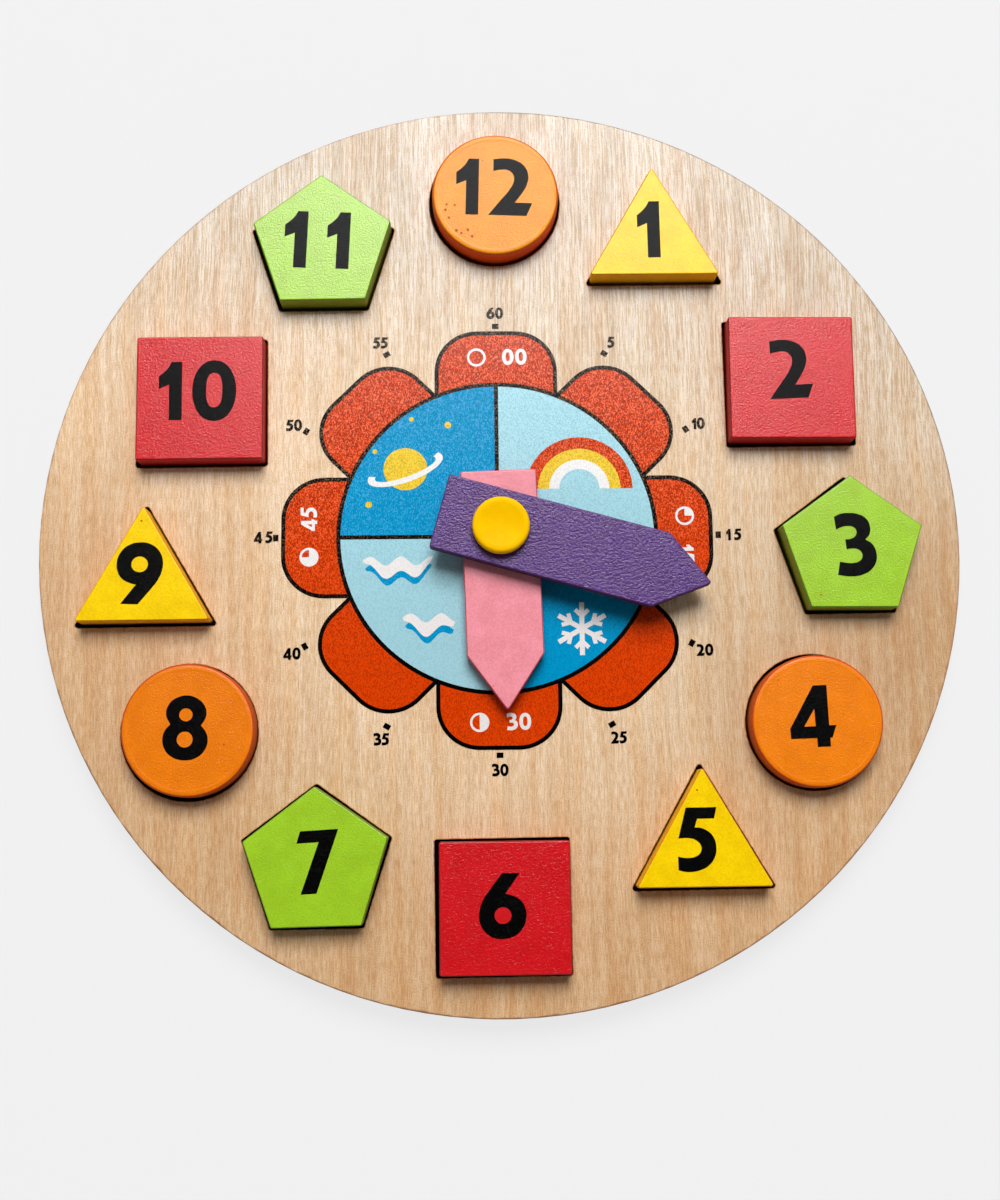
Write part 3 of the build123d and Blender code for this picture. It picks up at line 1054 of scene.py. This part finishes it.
# Small pin-holes and specks in the paint of some blocks, from the board's middle.
paint_marks = {
    3: [(102.0, -18.9, 0.3)],
    5: [(59.7, -80.3, 0.3)],
    8: [(-88.7, -63.3, 0.32)],
    9: [(-115.5, 8.7, 0.35)],
    12: [
        (-16.2, 114.1, 0.42),
        (-13.5, 113.8, 0.38),
        (-16.6, 112.2, 0.46),
        (-15.5, 109.5, 0.44),
        (-13.1, 105.0, 0.5),
        (-11.5, 104.1, 0.42),
        (-9.3, 105.2, 0.46),
        (-7.9, 102.9, 0.46),
    ],
}
mark_depth = 0.02
for hour, marks in paint_marks.items():
    block = blocks[hour]
    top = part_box(block)[1].z / mm
    outlines = [arc(x, y, radius, 0, 324, steps=9) for x, y, radius in marks]
    print_shape(f"paint_marks_{hour:02d}", outlines, top, top + mark_depth, mark_paint, block)

# ---------------------------------------------------------------- hands
# Two flat wooden bars with a square tail and a pointed end, painted on every side. Both
# turn on the pivot's shank, the pink hour hand under the purple minute hand.

# The hands' side tints are painted shade; their rim tints are partly deeper paint and partly painted shade.
pink_paint = make_paint(
    "pink_paint", srgb(238, 147, 161), pebble=0.7, wrinkle=0.3, depth=0.05, shine=0.36,
    rim=srgb(220, 125, 150), side=srgb(232, 150, 165),
)
dress("hour_hand", pink_paint)
purple_paint = make_paint(
    "purple_paint", srgb(82, 44, 119), pebble=0.85, wrinkle=0.7, depth=0.2, shine=0.36,
    rim=srgb(225, 180, 215), side=srgb(160, 120, 140),
)
dress("minute_hand", purple_paint)

# ---------------------------------------------------------------- pivot
# A dished button of yellow plastic on a shank through both hands, drawn down from below
# by a screw with a washer. Black nylon spacers keep the hands apart.

button_plastic, tree, surface, coordinates = start_material("button_plastic")
surface["Specular IOR Level"].default_value = 0.02
flow = noise(tree, coordinates["Object"], size=5 * mm, detail=2)
button_colour = mix(tree, fade(tree, flow, 0.3, 0.7), srgb(244, 190, 0), srgb(238, 182, 0))
tree.links.new(button_colour, surface["Base Color"])
tree.links.new(times(tree, flow, 0.1, 0.32), surface["Roughness"])
bump(tree, surface, noise(tree, coordinates["Object"], size=0.9 * mm), 0.02 * mm)
dress("pivot_button", button_plastic)

nylon, tree, surface, coordinates = start_material("black_nylon")
nylon_grain = noise(tree, coordinates["Object"], size=0.3 * mm)
tree.links.new(mix(tree, nylon_grain, srgb(16, 16, 17), srgb(34, 34, 36)), surface["Base Color"])
surface["Roughness"].default_value = 0.55
bump(tree, surface, nylon_grain, 0.02 * mm)
for spacer in ("board_spacer", "hand_spacer", "button_spacer"):
    dress(spacer, nylon)

zinc, tree, surface, coordinates = start_material("zinc_plate")
surface["Metallic"].default_value = 1.0
spangle = noise(tree, coordinates["Object"], size=0.6 * mm, detail=3)
tree.links.new(mix(tree, spangle, srgb(176, 178, 182), srgb(206, 206, 204)), surface["Base Color"])
tree.links.new(times(tree, spangle, 0.25, 0.22), surface["Roughness"])
bump(tree, surface, spangle, 0.015 * mm)
for steel_piece in ("rear_washer", "pivot_screw"):
    dress(steel_piece, zinc)

# ---------------------------------------------------------------- floor, light and camera
# A pale studio floor that rises to a pale wall all round, one large softbox above the
# 12 o'clock side, and a camera that looks almost straight down.

floor_rings = [(0.0, 0.0), (1.5, 0.0), (2.6, 0.05), (3.4, 0.4), (4.0, 1.4), (4.0, 4.0)]
sides = 48
floor_vertices = []
for radius, height in floor_rings:
    for side in range(sides):
        angle = 2 * pi * side / sides
        floor_vertices.append((radius * cos(angle), radius * sin(angle), height))
floor_faces = []
for first in range(sides * (len(floor_rings) - 1)):
    second = first + 1 if (first + 1) % sides else first + 1 - sides
    outer_edge = (second + sides, first + sides)
    inner_edge = (first,) if first < sides else (first, second)
    floor_faces.append(inner_edge + outer_edge)
sweep = bpy.data.meshes.new("studio_floor")
sweep.from_pydata(floor_vertices, [], floor_faces)
for face in sweep.polygons:
    face.use_smooth = True
floor = add_object("studio_floor", sweep)
floor.location.z = -0.05 * mm

floor_paint = bpy.data.materials.new("floor_paint")
floor_paint.use_nodes = True
tree = floor_paint.node_tree
tree.nodes.clear()
output = tree.nodes.new("ShaderNodeOutputMaterial")
matt = place(tree, "BsdfDiffuse", {"Color": srgb(240, 240, 240)})[0]
glow = place(tree, "Emission", {"Color": srgb(240, 240, 240), "Strength": 1.0})[0]
path = place(tree, "LightPath")
seen = calc(tree, "MAXIMUM", path["Is Camera Ray"], path["Is Glossy Ray"])
seen = calc(tree, "MAXIMUM", seen, path["Is Transmission Ray"])
glow_share = times(tree, seen, 0.9)
blended = place(tree, "MixShader", {0: glow_share, 1: matt, 2: glow})[0]
tree.links.new(blended, output.inputs["Surface"])
sweep.materials.append(floor_paint)

world = bpy.data.worlds.new("studio_air")
world.use_nodes = True
tree = world.node_tree
upward = place(tree, "SeparateXYZ", {"Vector": place(tree, "TexCoord")["Generated"]})["Z"]
off_zenith = fade(tree, upward, 0.95, 0.7)
room_light = mix(tree, off_zenith, (0.05, 0.05, 0.05, 1.0), (0.12, 0.12, 0.12, 1.0))
tree.links.new(room_light, tree.nodes["Background"].inputs["Color"])
bpy.context.scene.world = world

softbox_side = 1.4
softbox_tilt = radians(36.5)
softbox_distance = 2.4
softbox = bpy.data.lights.new("softbox", "AREA")
softbox.shape = "RECTANGLE"
softbox.size = softbox_side
softbox.size_y = softbox_side
softbox.energy = 77
lamp = add_object("softbox", softbox)
lamp.location = (0.12, softbox_distance * sin(softbox_tilt), softbox_distance * cos(softbox_tilt))
lamp.rotation_euler = (-softbox_tilt, 0, 0)

camera_data = bpy.data.cameras.new("camera")
camera_data.lens = 44.81
camera = add_object("camera", camera_data)
camera.location = (-10.78 * mm, -87.12 * mm, 488.21 * mm)
camera.rotation_euler = (radians(8.2416), radians(-1.0165), radians(-1.1208))
bpy.context.scene.camera = camera
bpy.context.scene.view_settings.view_transform = "Standard"

bpy.context.view_layer.update()
